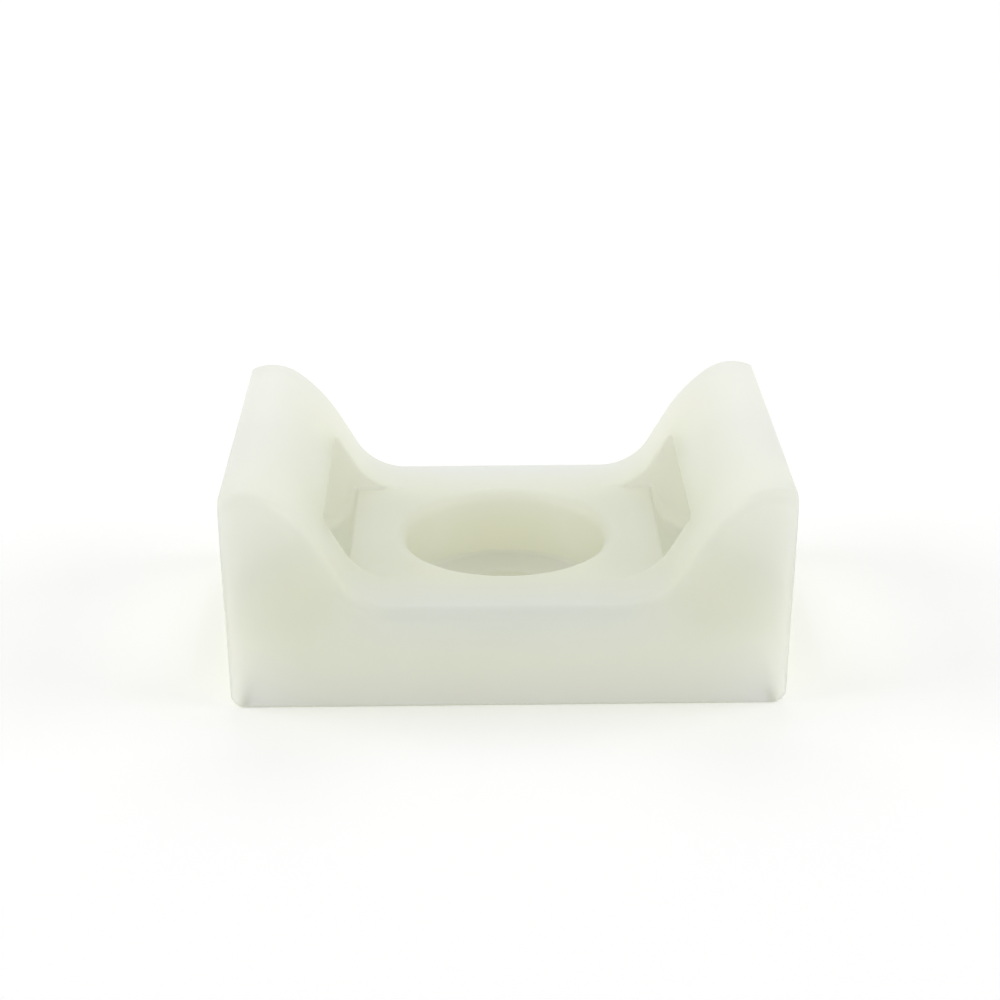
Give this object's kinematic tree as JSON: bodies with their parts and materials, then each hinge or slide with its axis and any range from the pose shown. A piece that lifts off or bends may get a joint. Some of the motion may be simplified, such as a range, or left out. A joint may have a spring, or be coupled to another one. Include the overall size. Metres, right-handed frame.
{
  "type": "cable tie mount",
  "caption": "Saddle-shaped nylon mount that holds a cable bundle in a cradle between two horns; a screw fixes it down and a strap passes under the horns.",
  "frame": {"origin": "centre of the flat mounting face, on the axis of the screw hole", "axes": "+X runs from one horn to the other, +Y from the front face to the back face, +Z out of the mounting face towards the cradle"},
  "size_m": [0.0222, 0.0156, 0.009],
  "materials": {
    "nylon": "natural milky nylon with a soft satin surface"
  },
  "bodies": {
    "root": {"tie_mount": "nylon"}
  },
  "joints": []
}
